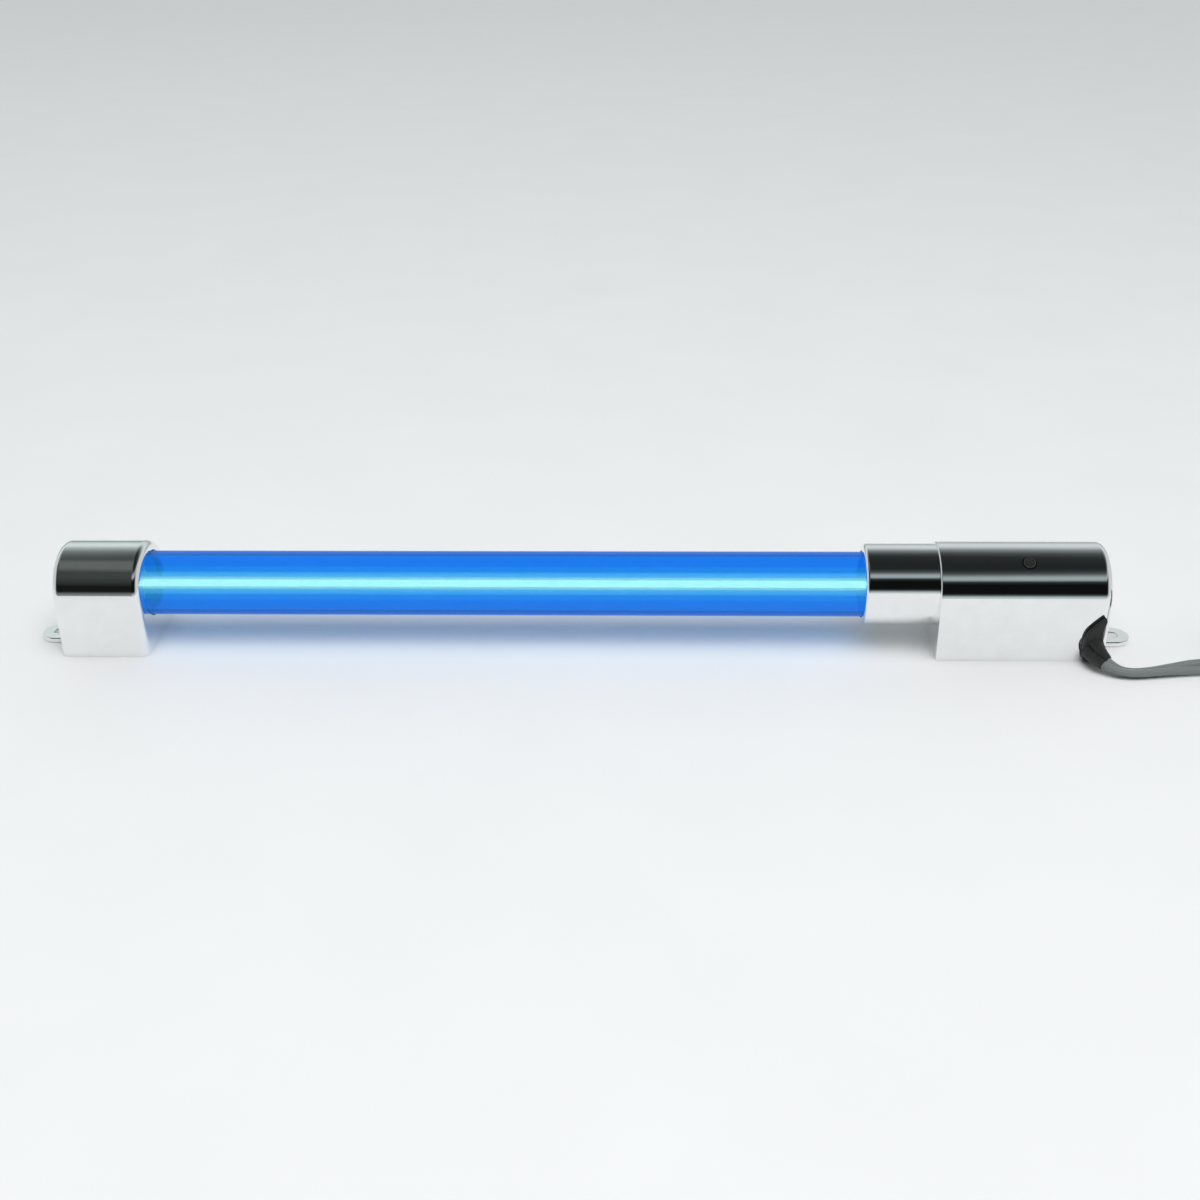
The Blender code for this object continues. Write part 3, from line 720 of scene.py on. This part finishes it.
def make_button():
    profile = [(0, 1.4), (0.3, 1.75), (3.1, 1.75), (3.35, 1.69), (3.52, 1.55), (3.6, 1.35), (3.55, 1.1),
               (3.5, 0.4)]
    button = turned("push_button", button_point(BUTTON_BASE), button_axis(), profile, 64)
    stand_for(smooth(button, 40), plastic("button_plastic", 0.018, 0.3), "button", "switch_button",
              "switch_button")


# ---------------------------------------------------------------- tube
# radius, colour, strength and opacity of each shell of light round the lit line
HAZE = [
    (1.75, (1.0, 0.62, 0.12), 3.6, 0.4),
    (3.3, (0.6, 1.0, 0.2), 2.8, 0.1),
    (4.9, (0.2, 1.0, 0.1), 0.9, 0.1),
]


def pipe(name, low, high, outer, bore, segments=128):
    """Round tube along the lamp's axis with softened outer edges."""
    profile = [(low, bore), (low, outer - TUBE_EDGE), (low + TUBE_EDGE, outer), (high - TUBE_EDGE, outer),
               (high, outer - TUBE_EDGE), (high, bore)]
    return smooth(turned(name, (0, 0, TUBE_AXIS_Z), (1, 0, 0), profile, segments, ring=True), 40)


def span(node):
    """Ends of a CAD node along x, in millimetres."""
    low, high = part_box(node)
    return low.x / MM, high.x / MM


def make_tube():
    """Clear blue tube whose bore gives off a brighter glow than its outer skin, so the tube reads darker
    towards its rim.
    """
    tube = pipe("blue_tube", *span("outer_tube"), TUBE_R, TUBE_BORE_R)
    skin = tinted("blue_acrylic", (0.01, 0.065, 0.4), 0.02, 1.2, (0.04, 0.3, 1.0), 0.1)
    bore = tinted("lit_bore", (0.85, 0.93, 1.0), 0.02, 1.2, (0.04, 0.79, 1.0), 0.28)
    stand_for(tube, skin, "lamp", "outer_tube", "outer_tube")
    tube.data.materials.append(bore)
    for face in tube.data.polygons:
        off = Vector((0, face.center.y, face.center.z - TUBE_AXIS_Z * MM)).length
        if off < (TUBE_BORE_R + 0.1) * MM:
            face.material_index = 1


def make_light():
    """Faint sleeve, the bright line inside it and the haze round the line."""
    core = pipe("core_sleeve", *span("light_core"), CORE_R, CORE_BORE_R, 64)
    sleeve = glow("core_sleeve_glow", (1.0, 0.9, 0.2), 1.6, 0.1, (0.3, 0.6, 0.7), 0.5)
    stand_for(core, sleeve, "lamp", "light_core", "light_core")
    low, high = span("led_strip")
    profile = [(low, 0.7), (low + LIGHT_LINE_TAPER, LIGHT_LINE_R), (high - LIGHT_LINE_TAPER, LIGHT_LINE_R),
               (high, 0.7)]
    line = smooth(turned("led_line", (0, 0, LIGHT_LINE_Z), (1, 0, 0), profile, 32))
    lit = glow("led_line_glow", (1.0, 0.66, 0.22), 5.6, 1.0, (0.8, 0.9, 0.9), 0.5)
    stand_for(line, lit, "lamp", "led_strip", "led_strip")
    for number, (radius, color, strength, alpha) in enumerate(HAZE, 1):
        profile = [(low + 1, radius - 0.1), (low + 1.5, radius), (high - 1.5, radius),
                   (high - 1, radius - 0.1)]
        haze = smooth(turned(f"glow_haze_{number}", (0, 0, LIGHT_LINE_Z), (1, 0, 0), profile, 64))
        soft = glow(f"haze_{number}", color, strength, alpha, (0.1, 0.4, 0.7), 0.6)
        stand_for(haze, soft, "lamp", "light_core")


def make_seal():
    """Dark rubber ring between the tube and the cap's mouth."""
    inner, outer = TUBE_R + SEAL_GAP, MOUTH_R - 0.02
    profile = [(0, inner), (SEAL_WIDTH, inner), (SEAL_WIDTH, outer), (0, outer)]
    seal = turned("tube_seal", (CAP_MOUTH - 2.0, 0, TUBE_AXIS_Z), (1, 0, 0), profile, 96, ring=True)
    stand_for(smooth(seal, 40), plastic("seal_rubber", 0.016, 0.5), "lamp", "left_cap")


# ---------------------------------------------------------------- carried-over nodes
def dress(node, material):
    """New material for a CAD node that keeps its own shape."""
    obj = NODES[node]
    obj.data.materials.clear()
    obj.data.materials.append(material)


def make_looks():
    for node in ("left_cover_screw_1", "left_cover_screw_2", "right_cover_screw_1", "right_cover_screw_2",
                 "right_cover_screw_3", "right_cover_screw_4", "plug_fuse", "plug_contact_left",
                 "plug_contact_right"):
        dress(node, metal(f"{node}_steel"))
    dress("inductor", surface("wound_copper", (0.6, 0.26, 0.1), 0.35, metallic=1.0, scale=900.0,
                              stretch=(1, 1, 12), bump=0.00005))
    for node in ("capacitor", "regulator", "switch_body"):
        dress(node, plastic(f"{node}_plastic"))
    for node in ("left_core_holder", "right_core_holder", "left_end_plug", "right_end_plug",
                 "terminal_block"):
        dress(node, surface(f"{node}_plastic", (0.78, 0.78, 0.76), 0.45, spread=0.06, tint=0.04,
                            bump=0.00001))
    dress("driver_board", surface("solder_mask", (0.015, 0.13, 0.05), 0.35, tint=0.25, bump=0.00002))
    for node in ("led_lead_1", "power_lead_1", "switch_lead_1"):
        dress(node, surface(f"{node}_red", (0.45, 0.02, 0.02), 0.45, tint=0.1, bump=0.00001))
    for node in ("led_lead_2", "power_lead_2", "switch_lead_2"):
        dress(node, surface(f"{node}_black", (0.02, 0.02, 0.02), 0.45, tint=0.2, bump=0.00001))


# ---------------------------------------------------------------- studio
# brightness of the surroundings against the sine of the elevation, and the tint of each set
FRONT_BANDS = [(0.0, 0.7), (0.05, 0.5), (0.14, 0.06), (0.2, 0.006), (0.53, 0.005), (0.62, 0.03),
               (0.707, 0.42), (0.766, 0.35), (0.83, 0.11), (0.87, 0.05), (0.92, 0.02), (1.0, 0.02)]
REAR_BANDS = [(0.0, 0.4), (0.19, 0.54), (0.39, 0.74), (0.57, 0.6), (0.72, 0.25), (0.84, 0.09),
              (0.93, 0.03), (1.0, 0.02)]
LEFT_FRONT_BANDS = [(0.0, 0.3), (0.17, 0.012), (0.36, 0.009), (0.53, 0.04), (0.68, 0.057), (0.8, 0.06),
                    (0.88, 0.14), (0.94, 0.14), (1.0, 0.1)]
LEFT_REAR_BANDS = [(0.0, 0.3), (0.19, 0.45), (0.37, 0.75), (0.54, 0.75), (0.69, 0.42), (0.81, 0.2),
                   (0.89, 0.11), (0.95, 0.06), (1.0, 0.05)]
FRONT_HUE = (0.86, 1.0, 1.03)
REAR_HUE = (0.92, 1.0, 1.01)
LEFT_FRONT_HUE = (0.88, 1.0, 0.95)
LEFT_REAR_HUE = (0.88, 1.0, 0.97)
SIDE_COLOR = (0.64, 0.64, 0.645, 1)
SEEN_COLOR = (0.86, 0.87, 0.88, 1)
FLOOR_HALF = 12000
FLOOR_Z = -0.05
# name, place in metres, width in metres and power in watts
AREA_LAMPS = [
    ("key", (0.1, -0.55, 0.95), 0.9, 5.6),
    ("fill", (-0.6, 0.8, 1.6), 1.6, 2.0),
]


def ramp(tree, points, hue, value):
    """Colour that follows the points as value goes from 0 to 1."""
    node = tree.nodes.new("ShaderNodeValToRGB")
    elements = node.color_ramp.elements
    while len(elements) < len(points):
        elements.new(0.5)
    for element, (position, level) in zip(elements, points):
        element.position = position
        element.color = (*[level * part for part in hue], 1)
    tree.links.new(value, node.inputs["Fac"])
    return node.outputs["Color"]


def blend_by(tree, value, low, high, first, second):
    """Colour that goes from first to second as value goes from low to high."""
    amount = tree.nodes.new("ShaderNodeMapRange")
    amount.inputs["From Min"].default_value = low
    amount.inputs["From Max"].default_value = high
    tree.links.new(value, amount.inputs["Value"])
    mix = tree.nodes.new("ShaderNodeMix")
    mix.data_type = "RGBA"
    tree.links.new(amount.outputs["Result"], mix.inputs["Factor"])
    for socket, color in (("A", first), ("B", second)):
        if isinstance(color, tuple):
            mix.inputs[socket].default_value = color
        else:
            tree.links.new(color, mix.inputs[socket])
    return mix.outputs["Result"]


def make_surroundings():
    """World whose brightness depends on direction, for the bands that the plating mirrors."""
    world = bpy.data.worlds.new("studio")
    bpy.context.scene.world = world
    world.use_nodes = True
    tree = world.node_tree
    where = tree.nodes.new("ShaderNodeTexCoord")
    split = tree.nodes.new("ShaderNodeSeparateXYZ")
    tree.links.new(where.outputs["Generated"], split.inputs["Vector"])
    x, y, z = (split.outputs[axis] for axis in "XYZ")
    front = ramp(tree, FRONT_BANDS, FRONT_HUE, z)
    rear = ramp(tree, REAR_BANDS, REAR_HUE, z)
    left_front = ramp(tree, LEFT_FRONT_BANDS, LEFT_FRONT_HUE, z)
    left_rear = ramp(tree, LEFT_REAR_BANDS, LEFT_REAR_HUE, z)
    right = blend_by(tree, y, -0.08, 0.08, front, rear)
    left = blend_by(tree, y, -0.08, 0.08, left_front, left_rear)
    level = blend_by(tree, x, -0.24, -0.1, left, right)
    level = blend_by(tree, x, 0.55, 0.8, level, SIDE_COLOR)
    level = blend_by(tree, x, -0.65, -0.85, level, SIDE_COLOR)
    seen = tree.nodes.new("ShaderNodeLightPath")
    level = blend_by(tree, seen.outputs["Is Camera Ray"], 0.0, 1.0, level, SEEN_COLOR)
    tree.links.new(level, tree.nodes["Background"].inputs["Color"])


def make_lamps():
    """Soft lamps that light the part without showing in the plating."""
    for name, place, width, power in AREA_LAMPS:
        data = bpy.data.lights.new(name, "AREA")
        data.size = width
        data.energy = power
        lamp = add(name, data)
        lamp.location = place
        lamp.rotation_euler = (-Vector(place)).to_track_quat("-Z", "Y").to_euler()
        lamp.visible_glossy = False
    sun = bpy.data.lights.new("soft_top", "SUN")
    sun.energy = 1.55
    sun.angle = math.radians(50)
    lamp = add("soft_top", sun)
    lamp.rotation_euler = (math.radians(12), math.radians(8), 0)
    lamp.visible_glossy = False


def make_studio():
    make_surroundings()
    corners = [(x * FLOOR_HALF, y * FLOOR_HALF, FLOOR_Z) for x, y in ((-1, -1), (1, -1), (1, 1), (-1, 1))]
    floor = mesh_object("floor", corners, [(0, 1, 2, 3)])
    floor.data.materials.append(surface("floor_paint", (0.8, 0.805, 0.81), 0.6, spread=0.03, scale=20.0,
                                        tint=0.01))
    make_lamps()
    bpy.context.scene.view_settings.view_transform = "Standard"


# ---------------------------------------------------------------- the scene
make_camera()
on_lead = [make_boot(), make_relief(), make_tie()]
on_lead += [make_plug_boot(), make_plug_shell(), make_plug_ring(), make_plug_pin()]
on_lead += [NODES[name] for name in ("plug_fuse", "plug_contact_left", "plug_contact_right")]
make_lead()
make_cap()
make_housing()
make_plate("left_base_plate", -1.0, 128.4, (-133.0,))
make_plate("right_base_plate", 1.0, 106.0, (110.0, 140.0))
make_button()
make_tube()
make_light()
make_seal()
make_looks()
make_studio()
